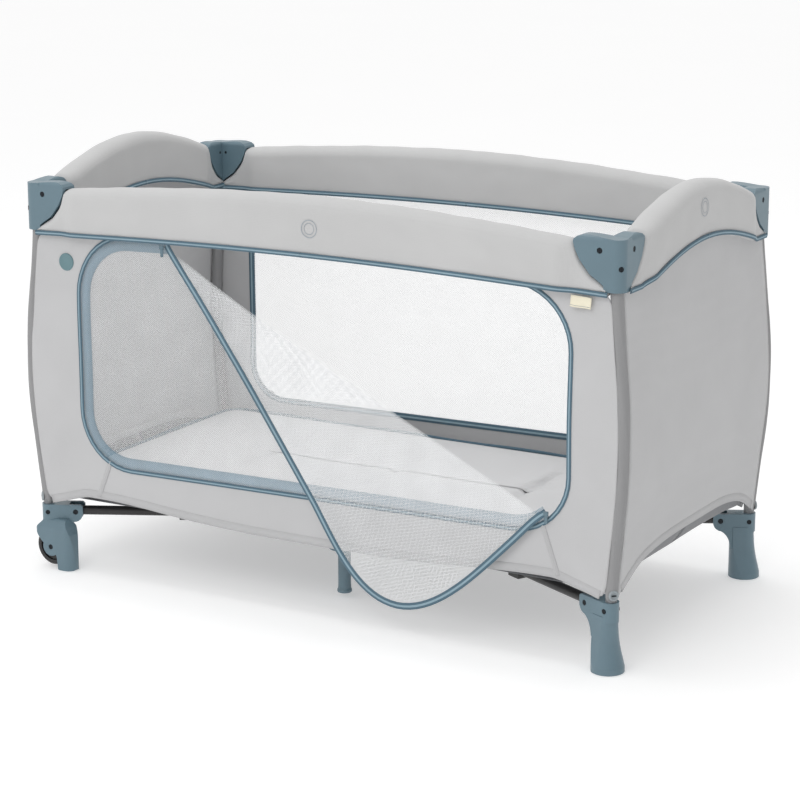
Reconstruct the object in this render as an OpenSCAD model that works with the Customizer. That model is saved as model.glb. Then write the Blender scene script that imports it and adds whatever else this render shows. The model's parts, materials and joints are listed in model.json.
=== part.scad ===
// Folding travel cot (playpen): four corner posts, folding top half-rails with
// padded covers, crossed base arms to a centre hub, fabric walls, mattress and door flap.
// Origin: centre of the footprint on the floor. +X right along the long side, -Y front, +Z up. Millimetres.

/* [Overall] */
// Half distance between corner post axes along the long side
half_x = 600; // [560:5:640]
// Half distance between corner post axes along the short side
half_y = 305; // [280:5:330]
// Height of every top half-rail pivot above the floor
rail_z = 733; // [700:1:734]
// Height of the base arm pivots above the floor
arm_z = 112; // [108:1:113]

/* [Tubes] */
// Outside radius of the corner post tube
post_r = 10; // [9:0.5:10.5]
// Outside radius of the base arms and the top half-rails
tube_r = 9; // [8:0.5:9]
// Tube wall thickness
tube_wall = 1.2; // [0.8:0.1:2]
// Outside radius of the fabric sleeve round a post
sleeve_r = 12; // [11.5:0.5:14]

/* [Corner brackets] */
// Length of the long-side wing from the post axis
wing_a = 74; // [70:1:78]
// Length of the short-side wing from the post axis
wing_b = 66; // [64:1:70]
// Outer face of the bracket from the post axis
brk_out = 18; // [17:0.5:20]
// Inner face of the bracket from the post axis
brk_in = 17; // [15:0.5:19]
// Distance of the half-rail pivot from the post axis
piv_a = 25; // [24:0.5:28]

/* [Feet] */
// Distance of the arm pivot from the post axis along the diagonal
foot_piv = 54; // [50:1:58]
// Top of the foot block
foot_top = 126; // [125:1:128]
// Half width of the foot block
foot_half_w = 16; // [15.5:0.5:17]
// Base radius of the plain foot
foot_base_r = 29.5; // [27:0.5:31]
// Neck radius of the plain foot
foot_neck_r = 17; // [16:0.5:18]
// Radius of the wheels
wheel_r = 38; // [32:1:39]
// Width of the wheels
wheel_w = 20; // [16:1:22]

/* [Soft parts] */
// Thickness of the padded top covers
pad_t = 58; // [50:1:60]
// Thickness of the fabric walls
wall_t = 3; // [2:0.5:5]
// Height of the mattress top
mat_top = 200; // [180:1:220]
// Underside of the mattress
mat_bot = 143; // [143:1:160]

/* [Pins] */
// Radius of the pivot pins
pin_r = 3; // [2.5:0.25:4]
// Radial clearance round pins and posts
fit_c = 0.05; // [0.01:0.01:0.1]

/* [Hidden] */
$fn = 64;
beta = atan(half_y / half_x);     // direction of a base arm in plan
post_d = norm([half_x, half_y]);
arm_out = post_d - foot_piv;      // radius of the arm's foot pivot from the centre
hub_rad = 35;                     // radius of the arm's hub pivot from the centre
arm_len = arm_out - hub_rad;
run_x = arm_len * cos(beta);      // pivot-to-pivot length of a long half-rail
run_y = arm_len * sin(beta);      // pivot-to-pivot length of a short half-rail
lx = half_x - piv_a - run_x;      // latch pivot on the long side
ly = half_y - piv_a - run_y;      // latch pivot on the short side
tip = 5.5;                        // tube length past a pivot
slot_h = tube_r + 0.8;            // half width of a pivot slot
pin_bore = pin_r + fit_c;
head_r = 4.6;                     // pivot screw head
recess_r = 5.2;                   // and the recess that it sits in
brk_screw_z = 704;                // screw through the bracket's corner
foot_screw_z = 111;               // screw through the foot and the post
post_low = 98;
post_len = 645;
outrigger_y = 192;                // centre feet
wheel_x = half_x - 16;            // wheel centre
wheel_y = half_y + 3;
wheel_z = 44;
cover_x = 520;                    // where a long cover ends
cover_y = 231;                    // where a short cover ends
wall_y = half_y + 8;              // inner face of the long walls
wall_x = half_x + 8;              // inner face of the short walls

c_plastic = [0.40, 0.48, 0.53];
c_fabric = [0.78, 0.78, 0.79];
c_steel = [0.13, 0.13, 0.13];

// ---- helpers ----
function steps(a, b, n) = [for (i = [0:n]) a + (b - a) * i / n];
function arc(x, y, r, a, b, n) = [for (t = steps(a, b, n)) [x + r * cos(t), y + r * sin(t)]];
function bez(a, b, c, d, t) = a * pow(1 - t, 3) + 3 * b * t * pow(1 - t, 2)
  + 3 * c * t * t * (1 - t) + d * pow(t, 3);
function bez_path(a, b, c, d, n) = [for (t = steps(0, 1, n)) bez(a, b, c, d, t)];
// copy a shape drawn in the +X +Y corner to another corner
module at(sx, sy) mirror([sx < 0 ? 1 : 0, 0, 0]) mirror([0, sy < 0 ? 1 : 0, 0]) children();
// diagonal frame of the +X +Y corner: local +x runs from the centre towards the post
module diag() rotate([0, 0, beta]) children();
// frame of an end: local +x runs along +Y
module end_frame() translate([half_x, 0, 0]) rotate([0, 0, 90]) children();
module cyl_y(r, y0, y1) translate([0, y1, 0]) rotate([90, 0, 0]) cylinder(r = r, h = y1 - y0);
module cyl_x(r, x0, x1) translate([x0, 0, 0]) rotate([0, 90, 0]) cylinder(r = r, h = x1 - x0);
module pipe_x(x0, x1, r, wall) difference() {
  cyl_x(r, x0, x1);
  cyl_x(r - wall, x0 - 1, x1 + 1);
}
// a profile of (across, height) extruded along y from y0 to y1
module along_y(y0, y1) translate([0, y1, 0]) rotate([90, 0, 0]) linear_extrude(y1 - y0) children();
// a profile of (y, height) extruded along x from x0 to x1
module along_x(x0, x1) translate([x0, 0, 0]) rotate([90, 0, 90]) linear_extrude(x1 - x0) children();

// ---- profiles of the soft parts ----
function long_top(x) = 746 + 29 * cos(90 * abs(x) / 524);
function long_bot(x) = 655 + 15 * cos(90 * abs(x) / 620);
function end_rise(y) = abs(y) < 250 ? cos(90 * abs(y) / 250) : 0;
function end_top(y) = 750 + 57 * end_rise(y);
function end_bot(y) = 661 + 46 * end_rise(y);
function long_hem(x) = 138 + 18 * pow(sin(90 * min(1, abs(x) / 480)), 4)
  - 0.3 * max(0, abs(x) - 500);
function end_hem(y) = 190 - 42 * pow(abs(y) / 286, 4);

// ---- corner bracket, +X +Y corner, relative to the post axis ----
module wing_profile(len) {
  // distance inwards against height
  polygon([[-brk_out - 1, 664], [0.07 * len, 664.5], [0.31 * len, 679], [0.57 * len, 691.5],
    [0.83 * len, 715], [0.95 * len, 732], [len, 744], [len - 1, 749], [len - 6, 753.5],
    [len - 16, 756.5], [len - 26, 757], [0.5 * len, 756.2], [0.32 * len, 754.8], [0.15 * len, 753.3],
    [-2, 752.6], [-brk_out - 1, 752.5]]);
}
module wing_section() {
  // distance outwards against height, domed top
  top = 757.5;
  polygon(concat([[-brk_in, 650], [brk_out, 650]],
    arc(brk_out - 11, top - 11, 11, 0, 90, 8), arc(-brk_in + 9, top - 9, 9, 90, 180, 8)));
}
module wing(len) intersection() {
  translate([0, brk_out + 2, 0]) mirror([1, 0, 0]) rotate([90, 0, 0])
    linear_extrude(brk_out + brk_in + 4) wing_profile(len);
  along_x(-len - 5, brk_out + 5) wing_section();
}
module bracket() color(c_plastic) translate([half_x, half_y, 0]) difference() {
  intersection() {
    union() {
      wing(wing_a);
      mirror([1, -1, 0]) wing(wing_b);
    }
    // plan: two wings and a corner rounded about the post
    translate([0, 0, 640]) linear_extrude(140) union() {
      circle(r = brk_out);
      translate([-wing_a - 1, -brk_in]) square([wing_a + 1, brk_in + brk_out]);
      translate([-brk_in, -wing_b - 1]) square([brk_in + brk_out, wing_b + 1]);
    }
  }
  // post socket
  translate([0, 0, 600]) cylinder(r = post_r + fit_c, h = 145);
  // rail slots, open below and inwards, bores and screw recesses of both pivots
  for (turn = [0, 1]) mirror([turn, -turn, 0]) {
    translate([-wing_a - 5, -slot_h, 640]) cube([wing_a - 9, 2 * slot_h, rail_z + 11.5 - 640]);
    translate([-piv_a, 0, rail_z]) {
      cyl_y(pin_bore, -60, 60);
      cyl_y(recess_r, brk_out - 3, brk_out + 5);
    }
  }
  // corner screw
  translate([0, 0, brk_screw_z]) rotate([0, 0, 45]) {
    cyl_x(2 + fit_c, 5, 60);
    cyl_x(4.7, brk_out - 2.2, 60);
  }
}

// ---- post and sleeve ----
module post() color(c_steel) translate([half_x, half_y, post_low]) difference() {
  cylinder(r = post_r, h = post_len);
  translate([0, 0, -1]) cylinder(r = post_r - tube_wall, h = post_len + 2);
  translate([0, 0, foot_screw_z - post_low]) rotate([0, 0, beta]) cyl_y(2 + fit_c, -20, 20);
  translate([0, 0, brk_screw_z - post_low]) rotate([0, 0, 45]) cyl_x(2 + fit_c, 0, 20);
}
module sleeve() color([0.72, 0.72, 0.73]) translate([half_x, half_y, foot_top + 2]) rotate_extrude()
  polygon([[post_r + 0.5, 0], [sleeve_r - 0.6, 0], [sleeve_r, 12], [sleeve_r, 516], [sleeve_r - 0.6, 530],
    [post_r + 0.5, 530]]);

// ---- feet ----
// block round the post's lower end and the arm pivot
module foot_block() {
  along_y(-foot_half_w, foot_half_w) polygon(concat(
    [[post_d - 3, 90], [post_d - 3, foot_top], [post_d - 64, foot_top], [post_d - 68, foot_top - 4]],
    arc(post_d - 51, 109, 17, 180, 270, 8)));
  translate([post_d - 3, 0, 90]) cylinder(r = foot_half_w, h = foot_top - 90);
}
module foot_cuts() {
  translate([half_x, half_y, post_low - 0.5]) cylinder(r = post_r + fit_c, h = 60);
  diag() {
    // arm slot, open at the top and the inner end
    translate([post_d - foot_piv - 30, -slot_h, arm_z - 11.5]) cube([43, 2 * slot_h, 60]);
    translate([arm_out, 0, arm_z]) {
      cyl_y(pin_bore, -40, 40);
      for (s = [0, 1]) mirror([0, s, 0]) cyl_y(recess_r, foot_half_w - 2.5, 30);
    }
    translate([post_d, 0, foot_screw_z]) {
      cyl_y(2 + fit_c, -40, 40);
      for (s = [0, 1]) mirror([0, s, 0]) cyl_y(4.7, foot_half_w - 2.5, 40);
    }
  }
}
// flare of the plain foot: radius against height
function foot_flare() = [[0, 0], [foot_base_r - 0.5, 0], [foot_base_r + 1, 1.5],
  [foot_base_r + 1, 8], [foot_base_r, 9.5], [foot_neck_r + 9, 24],
  [foot_neck_r + 5.5, 38], [foot_neck_r + 2.5, 54], [foot_neck_r + 0.8, 70],
  [foot_neck_r, 84], [foot_neck_r, 100], [0, 100]];
module foot_plain() color(c_plastic) difference() {
  union() {
    diag() foot_block();
    // long neck that flares to a round base, mostly outwards
    diag() intersection() {
      union() {
        for (x = [-28, -6]) translate([post_d + x, 0, 0]) rotate_extrude() polygon(foot_flare());
        for (s = [0, 1]) mirror([0, s, 0]) along_x(post_d - 28, post_d - 6) polygon(foot_flare());
      }
      translate([post_d - 6, 0, 0]) cylinder(r = foot_base_r, h = 101);
    }
    // web that carries the block's underside over into the neck
    diag() translate([post_d, 0, 0]) along_y(-foot_half_w, foot_half_w) polygon(concat(
      bez_path([-60, 95], [-46, 91], [-36, 80], [-34, 58], 8), [[-20, 58], [-20, 95]]));
  }
  foot_cuts();
  // hollow underside
  diag() translate([post_d - 6, 0, -1]) cylinder(r1 = foot_base_r - 4, r2 = foot_neck_r - 7, h = 61);
}
// rounded plan of the wheel housing, about the post axis
module housing_plan() {
  translate([-47.5, 0]) circle(r = 17.5);
  translate([-47.5, -17.5]) square([60, 35]);
  translate([12, -9]) square([9, 18]);
  for (s = [-1, 1]) translate([12.5, s * 9]) circle(r = 8.5);
}
// side view of the wheel housing: shoulder, lip, boss round the axle, and the leg behind the wheel
module housing_side() polygon(concat(
  [[1, 100], [7, 92], [14, 85], [20.5, 77], [20, 72], [14, 65], [7, 56]],
  arc(-16, wheel_z, 18, 20, -120, 10),
  [[-28, 30], [-30, 24], [-32, 2], [-33, 0], [-63, 0], [-64.5, 2], [-65, 8], [-64, 30], [-62.5, 52],
    [-59, 70], [-53, 86], [-46, 98]]));
// end view of the wheel housing: straight sides and a domed top
module housing_end() polygon(concat([[-17.5, -1], [17.5, -1]],
  [for (t = steps(0, 180, 16)) [17.5 * cos(t), 76 + 24 * sin(t)]]));
module foot_wheel() color(c_plastic) difference() {
  union() {
    diag() foot_block();
    translate([half_x, wheel_y, 0]) intersection() {
      translate([0, 0, -1]) linear_extrude(110) housing_plan();
      along_y(-20, 20) housing_side();
      along_x(-70, 25) housing_end();
    }
  }
  foot_cuts();
  // wheel space, axle bore and recesses
  translate([wheel_x, wheel_y, wheel_z]) {
    cyl_y(wheel_r + 2.5, -wheel_w / 2 - 1, wheel_w / 2 + 1);
    cyl_y(pin_bore, -40, 40);
    for (s = [0, 1]) mirror([0, s, 0]) cyl_y(recess_r, 14.5, 30);
  }
}
// half section of a wheel with a dished web
function wheel_half() = [[9, wheel_w / 2], [10, wheel_w / 2 - 3], [wheel_r - 11, wheel_w / 2 - 3],
  [wheel_r - 10, wheel_w / 2], [wheel_r - 3, wheel_w / 2], [wheel_r - 0.8, wheel_w / 2 - 2],
  [wheel_r, wheel_w / 2 - 5], [wheel_r, 0], [pin_bore, 0], [pin_bore, wheel_w / 2]];
module wheel() color([0.08, 0.08, 0.08]) translate([wheel_x, wheel_y, wheel_z]) rotate([90, 0, 0])
  rotate_extrude($fn = 96) for (s = [0, 1]) mirror([0, s]) polygon(wheel_half());

// ---- fasteners of one corner ----
module screw_head(r, y) translate([0, y, 0]) rotate([-90, 0, 0]) difference() {
  cylinder(r = r, h = 2.2);
  translate([-r, -0.5, 1.4]) cube([2 * r, 1, 2]);
  translate([-0.5, -r, 1.4]) cube([1, 2 * r, 2]);
}
// a pin along y with a slotted head at each end
module headed_pin(r, half, head) {
  cyl_y(r, -half, half);
  for (s = [0, 1]) mirror([0, s, 0]) screw_head(head, half - 0.1);
}
module screws(wheeled) color([0.1, 0.16, 0.2]) {
  translate([half_x, half_y, rail_z]) for (turn = [0, 1]) mirror([turn, -turn, 0]) translate([-piv_a, 0, 0]) {
    cyl_y(pin_r, -brk_in + 0.5, brk_out - 2);
    screw_head(head_r, brk_out - 2.6);
  }
  translate([half_x, half_y, brk_screw_z]) rotate([0, 0, -45]) {
    cyl_y(2, 10, brk_out - 1);
    screw_head(4.3, brk_out - 1.9);
  }
  diag() translate([arm_out, 0, arm_z]) headed_pin(pin_r, foot_half_w - 2, head_r);
  diag() translate([post_d, 0, foot_screw_z]) headed_pin(2, foot_half_w - 2, 4.2);
  if (wheeled) translate([wheel_x, wheel_y, wheel_z]) headed_pin(pin_r, 15, head_r);
}

// ---- base arm, +X +Y corner ----
module arm() color(c_steel) diag() translate([0, 0, arm_z]) difference() {
  union() {
    pipe_x(hub_rad - tip, arm_out + tip, tube_r, tube_wall);
    // spacer clip that keeps the tube off the floor fabric
    translate([388, 0, 0]) difference() {
      translate([0, -11.5, -14]) cube([30, 23, 22]);
      cyl_x(tube_r - 0.4, -5, 40);
    }
  }
  for (x = [hub_rad, arm_out]) translate([x, 0, 0]) cyl_y(pin_bore, -30, 30);
}

// ---- centre hub with two outrigger bars ----
module hub() color(c_plastic) {
  difference() {
    union() {
      translate([0, 0, arm_z - 14]) cylinder(r = 50, h = 29);
      translate([-12, -208, arm_z - 8]) cube([24, 416, 16]);
      for (s = [-1, 1]) translate([0, s * outrigger_y, arm_z - 14]) cylinder(r = 29, h = 10);
    }
    for (sx = [-1, 1], sy = [-1, 1]) at(sx, sy) diag() translate([hub_rad, 0, 0]) {
      translate([-11.2, -slot_h, 0]) cube([60, 2 * slot_h, arm_z + 11.3]);
      // seat of the pin that is pressed in below
      translate([0, 0, arm_z]) cyl_y(pin_r - 0.01, -15, 15);
    }
    for (s = [-1, 1]) translate([0, s * outrigger_y, arm_z - 20]) cylinder(r = 9 + fit_c, h = 16);
  }
  for (sx = [-1, 1], sy = [-1, 1]) at(sx, sy) diag() translate([hub_rad, 0, arm_z]) cyl_y(pin_r, -14.8, 14.8);
}
module hub_feet() color(c_plastic) for (s = [-1, 1]) translate([0, s * outrigger_y, 12]) rotate_extrude()
  polygon([[0, 0], [13, 0], [14, 1.5], [14, 5], [12.5, 8], [12, 20], [12, 85.5], [9, 85.5], [9, 95],
    [0, 95]]);

// ---- top half-rails: +X half of the +Y side, +Y half of the +X side ----
module half_rail(inner, outer) translate([0, 0, rail_z]) difference() {
  pipe_x(inner - tip, outer + tip, tube_r, tube_wall);
  for (x = [inner, outer]) translate([x, 0, 0]) cyl_y(pin_bore, -30, 30);
}
module rail_long() color(c_steel) translate([0, half_y, 0]) half_rail(lx, half_x - piv_a);
module rail_short() color(c_steel) end_frame() half_rail(ly, half_y - piv_a);
// latch over the middle of a side, pivots at +-p, half length e, drawn along x about its own centre
module latch(p, e) translate([0, 0, rail_z]) difference() {
  union() {
    difference() {
      translate([-e, -14, -14]) cube([2 * e, 28, 25]);
      for (m = [0, 1]) mirror([m, 0, 0]) translate([p - 10.8, -slot_h, -11.2]) cube([e, 2 * slot_h, 60]);
    }
    for (s = [-1, 1]) translate([s * p, 0, 0]) cyl_y(pin_r, -13, 13);
  }
  // push-button pocket underneath
  if (p > 30) translate([-22, -6, -15]) cube([44, 12, 9]);
}
module latch_long() color([0.15, 0.15, 0.16]) translate([0, half_y, 0]) latch(lx, lx + 13);
module latch_short() color([0.15, 0.15, 0.16]) end_frame() latch(ly, ly + 12);

// ---- padded covers ----
pad_channel = 39;   // width of the channel for the rail and the latch
// cross section about the rail plane: domed top, small lower corners
module pad_section(low, high) {
  h = pad_t / 2;
  top_r = 24;
  low_r = 8;
  polygon(concat(arc(h - low_r, low + low_r, low_r, -90, 0, 6), arc(h - top_r, high - top_r, top_r, 0, 90, 8),
    arc(-h + top_r, high - top_r, top_r, 90, 180, 8), arc(-h + low_r, low + low_r, low_r, 180, 270, 6)));
}
module cover_long() color(c_fabric) translate([0, half_y, 0]) difference() {
  intersection() {
    along_y(-60, 60) polygon(concat([for (x = steps(1, cover_x, 16)) [x, long_top(x)]],
      [for (x = steps(cover_x, 1, 16)) [x, long_bot(x)]]));
    along_x(0, 600) pad_section(655, 776);
  }
  along_y(-pad_channel / 2, pad_channel / 2) polygon(concat(
    [for (x = steps(-2, cover_x + 4, 16)) [x, max(long_top(x) - 10, rail_z + tube_r + 1)]],
    [for (x = steps(cover_x + 4, -2, 16)) [x, long_bot(x) + 9]]));
}
module cover_short() color(c_fabric) end_frame() difference() {
  intersection() {
    along_y(-60, 60) polygon(concat([for (y = steps(1, cover_y, 16)) [y, end_top(y)]],
      [for (y = steps(cover_y, 1, 16)) [y, end_bot(y)]]));
    along_x(0, 320) pad_section(640, 808);
  }
  along_y(-pad_channel / 2, pad_channel / 2) polygon(concat(
    [for (y = steps(-2, cover_y + 4, 16)) [y, max(end_top(y) - 10, rail_z + tube_r + 1)]],
    [for (y = steps(cover_y + 4, -2, 16)) [y, min(end_bot(y) + 9, rail_z - 16)]]));
}

// ---- fabric walls ----
door_zip_start = [-292, 632];   // upper end of the open zip
door_zip_end = [462, 262];      // lower end of the open zip
function door_fold(n) = bez_path(door_zip_start, [-60, 520], [200, 400], door_zip_end, n);
module long_outline() polygon(concat([for (x = steps(-580, 580, 24)) [x, long_hem(x)]],
  [for (x = steps(580, -580, 24)) [x, long_bot(x) - 2]]));
module door_open() polygon(concat([for (p = door_fold(14)) [p.x, p.y + 3]],
  bez_path([478, 268], [502, 300], [512, 340], [512, 400], 6),
  bez_path([512, 540], [512, 610], [500, 650], [380, 655], 8),
  [for (x = steps(340, -220, 8)) [x, long_bot(x) - 9]], [[-270, long_bot(270) - 10]]));
module panel_front() color(c_fabric) mirror([0, 1, 0]) along_y(wall_y, wall_y + wall_t) difference() {
  long_outline();
  door_open();
}
module panel_rear() color(c_fabric) along_y(wall_y, wall_y + wall_t) long_outline();
module panel_end() color(c_fabric) along_x(wall_x, wall_x + wall_t)
  polygon(concat([for (y = steps(-283, 283, 20)) [y, end_hem(y)]],
    [for (y = steps(283, -283, 20)) [y, end_bot(y) - 2]]));
// unzipped mesh corner hanging over the outside of the front wall
module door_flap() color([0.86, 0.87, 0.88]) mirror([0, 1, 0])
  along_y(wall_y + wall_t + 2, wall_y + wall_t + 5)
  polygon(concat(door_fold(12), bez_path([480, 270], [380, 165], [270, 62], [205, 60], 10),
    bez_path([190, 62], [150, 66], [105, 112], [45, 198], 7)));

// ---- mattress, floor quarters, trim ----
mat_x = 562;        // half length of the mattress
mat_y = 273;        // half width of the mattress
mat_corner = 40;
module mat_plan() {
  square([2 * (mat_x - mat_corner), 2 * mat_y], center = true);
  square([2 * mat_x, 2 * (mat_y - mat_corner)], center = true);
  for (sx = [-1, 1], sy = [-1, 1]) translate([sx * (mat_x - mat_corner), sy * (mat_y - mat_corner)])
    circle(r = mat_corner);
}
module mattress() color([0.84, 0.84, 0.85]) difference() {
  translate([0, 0, mat_bot]) linear_extrude(mat_top - mat_bot) mat_plan();
  // light filling: an open core between the two faces
  translate([-535, -250, mat_bot + 8]) cube([1070, 500, mat_top - mat_bot - 16]);
}
module floor_quarter() color(c_fabric) translate([0.5, 0.5, 136.8]) difference() {
  cube([575, 285, 4]);
  translate([575, 285, -1]) rotate([0, 0, 45]) cube([40, 40, 20], center = true);
}
module badge() color([0.41, 0.53, 0.55]) translate([-529, -wall_y - wall_t - 0.5, 608]) rotate([90, 0, 0])
  rotate_extrude() polygon([[0, 0], [16.5, 0], [16.5, 1.2], [15.5, 2.2], [13.6, 2.2], [13.2, 1.7], [0, 1.7]]);
// a pull tab and its slider, hanging from p (x and height)
module zip_pull(p) translate([p.x, -wall_y - wall_t - 11, p.y]) {
  translate([-3, 0, 0]) cube([6, 1.6, 18]);
  translate([-4.5, -0.6, 14]) cube([9, 3, 8]);
}
module zip_pulls() color(c_plastic) {
  zip_pull([-304, 640]);
  zip_pull([484, 252]);
}

// ---- drawing ----
at(-1, -1) bracket();  // bracket_fl
at(1, -1) bracket();  // bracket_fr
at(-1, 1) bracket();  // bracket_rl
at(1, 1) bracket();  // bracket_rr
at(-1, -1) post();  // post_fl
at(1, -1) post();  // post_fr
at(-1, 1) post();  // post_rl
at(1, 1) post();  // post_rr
at(-1, -1) sleeve();  // sleeve_fl
at(1, -1) sleeve();  // sleeve_fr
at(-1, 1) sleeve();  // sleeve_rl
at(1, 1) sleeve();  // sleeve_rr
at(-1, -1) foot_wheel();  // foot_fl
at(1, -1) foot_plain();  // foot_fr
at(-1, 1) foot_wheel();  // foot_rl
at(1, 1) foot_plain();  // foot_rr
at(-1, -1) wheel();  // wheel_fl
at(-1, 1) wheel();  // wheel_rl
at(-1, -1) screws(true);  // screws_fl
at(1, -1) screws(false);  // screws_fr
at(-1, 1) screws(true);  // screws_rl
at(1, 1) screws(false);  // screws_rr
at(-1, -1) arm();  // arm_fl
at(1, -1) arm();  // arm_fr
at(-1, 1) arm();  // arm_rl
at(1, 1) arm();  // arm_rr
hub();
hub_feet();
at(-1, -1) rail_long();  // rail_front_l
at(1, -1) rail_long();  // rail_front_r
at(-1, 1) rail_long();  // rail_rear_l
at(1, 1) rail_long();  // rail_rear_r
at(-1, -1) rail_short();  // rail_left_f
at(-1, 1) rail_short();  // rail_left_r
at(1, -1) rail_short();  // rail_right_f
at(1, 1) rail_short();  // rail_right_r
at(-1, -1) cover_long();  // cover_front_l
at(1, -1) cover_long();  // cover_front_r
at(-1, 1) cover_long();  // cover_rear_l
at(1, 1) cover_long();  // cover_rear_r
at(-1, -1) cover_short();  // cover_left_f
at(-1, 1) cover_short();  // cover_left_r
at(1, -1) cover_short();  // cover_right_f
at(1, 1) cover_short();  // cover_right_r
at(1, -1) latch_long();  // latch_front
latch_long();  // latch_rear
at(-1, 1) latch_short();  // latch_left
latch_short();  // latch_right
panel_front();
panel_rear();
at(-1, 1) panel_end();  // panel_left
panel_end();  // panel_right
door_flap();
mattress();
at(-1, -1) floor_quarter();  // floor_fl
at(1, -1) floor_quarter();  // floor_fr
at(-1, 1) floor_quarter();  // floor_rl
at(1, 1) floor_quarter();  // floor_rr
badge();
zip_pulls();
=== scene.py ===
"""Looks of the folding travel cot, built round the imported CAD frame.

Every soft part is a mesh made here from a few driving sizes: the padded covers, the fabric
walls with their windows, the hanging mesh door, the post sleeves, the floor and the mattress.
The hard parts are the CAD nodes, with materials and a small bevel.
Metres, row frame: +X along the long side, -Y to the door side, +Z up.
"""

import json
import math

import bpy
import numpy as np
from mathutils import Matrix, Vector

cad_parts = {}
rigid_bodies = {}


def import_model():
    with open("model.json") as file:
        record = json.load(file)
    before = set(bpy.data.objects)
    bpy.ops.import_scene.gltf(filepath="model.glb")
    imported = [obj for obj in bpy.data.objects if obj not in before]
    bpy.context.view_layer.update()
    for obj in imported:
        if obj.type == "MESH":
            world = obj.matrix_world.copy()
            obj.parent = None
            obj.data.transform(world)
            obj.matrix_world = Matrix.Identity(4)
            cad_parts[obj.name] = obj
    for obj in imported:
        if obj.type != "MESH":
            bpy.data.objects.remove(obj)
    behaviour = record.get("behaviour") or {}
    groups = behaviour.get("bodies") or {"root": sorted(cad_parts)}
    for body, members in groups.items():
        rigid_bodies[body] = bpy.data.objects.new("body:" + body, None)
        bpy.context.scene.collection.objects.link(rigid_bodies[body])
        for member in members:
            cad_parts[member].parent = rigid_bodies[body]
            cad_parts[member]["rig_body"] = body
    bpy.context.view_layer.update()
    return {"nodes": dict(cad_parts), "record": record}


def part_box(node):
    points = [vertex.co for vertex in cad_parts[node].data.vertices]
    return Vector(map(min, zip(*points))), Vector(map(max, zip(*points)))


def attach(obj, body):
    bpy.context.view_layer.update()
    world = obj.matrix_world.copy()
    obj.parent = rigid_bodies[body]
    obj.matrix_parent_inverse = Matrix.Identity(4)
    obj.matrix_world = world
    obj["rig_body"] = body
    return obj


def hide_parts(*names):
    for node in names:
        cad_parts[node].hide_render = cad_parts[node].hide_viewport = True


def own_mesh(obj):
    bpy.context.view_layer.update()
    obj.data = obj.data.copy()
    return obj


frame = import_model()


# ---------------------------------------------------------------- sizes read from the frame
def middle(node):
    low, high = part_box(node)
    return (low + high) / 2


POST = middle("post_rr")                   # a post axis, rear right
POST_X, POST_Y = POST.x, POST.y
WALL_Y = middle("panel_rear").y            # mid plane of the long walls
WALL_X = middle("panel_right").x           # mid plane of the end walls
PAD = (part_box("cover_rear_r")[1].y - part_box("cover_rear_r")[0].y) / 2   # half thickness of a cover
MAT_LOW, MAT_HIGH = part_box("mattress")
FLOOR_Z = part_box("floor_rr")[1].z
SLEEVE_R = 0.0112                          # radius of a post sleeve
BOW = 0.020                                # how far the posts bow outwards at mid height
BOW_ASIDE = 0.006                          # and how far towards the long walls' outside
BOW_LOW, BOW_HIGH = 0.132, 0.664
EDGE = 0.0052                              # a wall runs into its sleeve this far short of the post axis
CLOTH = 0.0014                             # thickness of the walls' fabric
CORNERS = {"fl": (-1, -1), "fr": (1, -1), "rl": (-1, 1), "rr": (1, 1)}


def smooth(t):
    t = np.clip(t, 0, 1)
    return t * t * (3 - 2 * t)


def bow(z):
    """0 to 1: how much of its bow a post has at height z."""
    t = np.clip((np.asarray(z, float) - BOW_LOW) / (BOW_HIGH - BOW_LOW), 0, 1)
    return np.sin(math.pi * t) ** 1.35


def long_top(x):
    return 0.746 + 0.029 * np.cos(np.minimum(np.abs(x) / 0.524, 1.15) * math.pi / 2)


def long_bottom(x):
    return 0.655 + 0.015 * np.cos(np.abs(x) / 0.620 * math.pi / 2)


def end_arch(y):
    return np.where(np.abs(y) < 0.25, np.cos(np.minimum(np.abs(y), 0.25) / 0.25 * math.pi / 2), 0)


def end_top(y):
    return 0.750 + 0.057 * end_arch(y)


def end_bottom(y):
    return 0.661 + 0.046 * end_arch(y)


def long_hem(x):
    a = np.abs(x)
    rise = 0.018 * np.sin(np.minimum(a / 0.480, 1) * math.pi / 2) ** 4
    return 0.138 + rise - 0.026 * np.clip((a - 0.50) / 0.09, 0, 1)


def end_hem(y):
    return 0.190 - 0.050 * (np.abs(y) / 0.290) ** 4


# ---------------------------------------------------------------- mesh helpers
def new_mesh(name, verts, faces, materials, indices=None):
    me = bpy.data.meshes.new(name)
    me.from_pydata([tuple(map(float, v)) for v in verts], [], [tuple(map(int, f)) for f in faces])
    for m in materials if isinstance(materials, (list, tuple)) else [materials]:
        me.materials.append(m)
    if indices is not None:
        me.polygons.foreach_set("material_index", np.asarray(indices, np.int32))
    me.polygons.foreach_set("use_smooth", [True] * len(me.polygons))
    me.update()
    o = bpy.data.objects.new(name, me)
    bpy.context.scene.collection.objects.link(o)
    return o


def grid_faces(nu, nv, close_u=False, close_v=False):
    faces = []
    for i in range(nu if close_u else nu - 1):
        for j in range(nv if close_v else nv - 1):
            a, b = i * nv + j, i * nv + (j + 1) % nv
            c, d = ((i + 1) % nu) * nv + (j + 1) % nv, ((i + 1) % nu) * nv + j
            faces.append((a, b, c, d))
    return faces


def grid(name, points, materials, close_u=False, close_v=False, keep=None):
    """A surface through points[u, v]. A face is left out where keep says no to its middle."""
    nu, nv = points.shape[:2]
    flat = points.reshape(-1, 3)
    faces = grid_faces(nu, nv, close_u, close_v)
    if keep is not None:
        faces = [f for f in faces if keep(flat[list(f)].mean(0))]
    return new_mesh(name, flat, faces, materials)


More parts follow.
